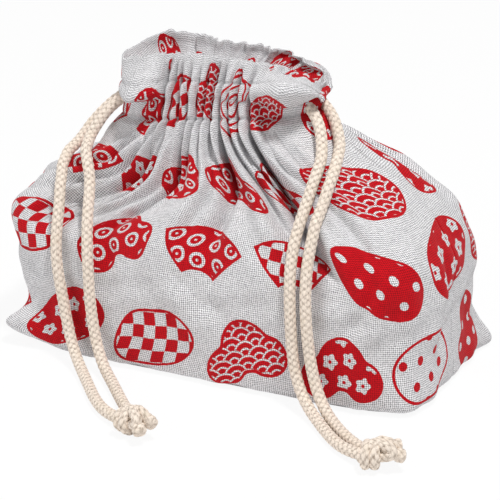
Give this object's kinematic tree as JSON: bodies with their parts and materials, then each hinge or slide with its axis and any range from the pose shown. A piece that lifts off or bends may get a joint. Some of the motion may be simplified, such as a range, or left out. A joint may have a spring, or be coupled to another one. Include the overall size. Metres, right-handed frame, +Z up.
{
  "type": "kinchaku drawstring pouch",
  "caption": "Cotton drawstring pouch with a boxed rectangular base, standing filled out and drawn shut by knotted cords that run through the casing round its neck.",
  "frame": {"origin": "middle of the boxed base, on the surface that the pouch stands on", "axes": "+X along the long side of the base, -Y towards the front where the cords lie, +Z up out of the mouth"},
  "size_m": [0.2191, 0.1668, 0.1398],
  "materials": {
    "printed_canvas": "off-white cotton and linen canvas with a red print",
    "cream_cord": "cream braided cotton cord"
  },
  "bodies": {
    "root": {"pouch_cloth": "printed_canvas", "left_cord": "cream_cord", "right_cord": "cream_cord", "left_knot": "cream_cord", "right_knot": "cream_cord"}
  },
  "joints": []
}
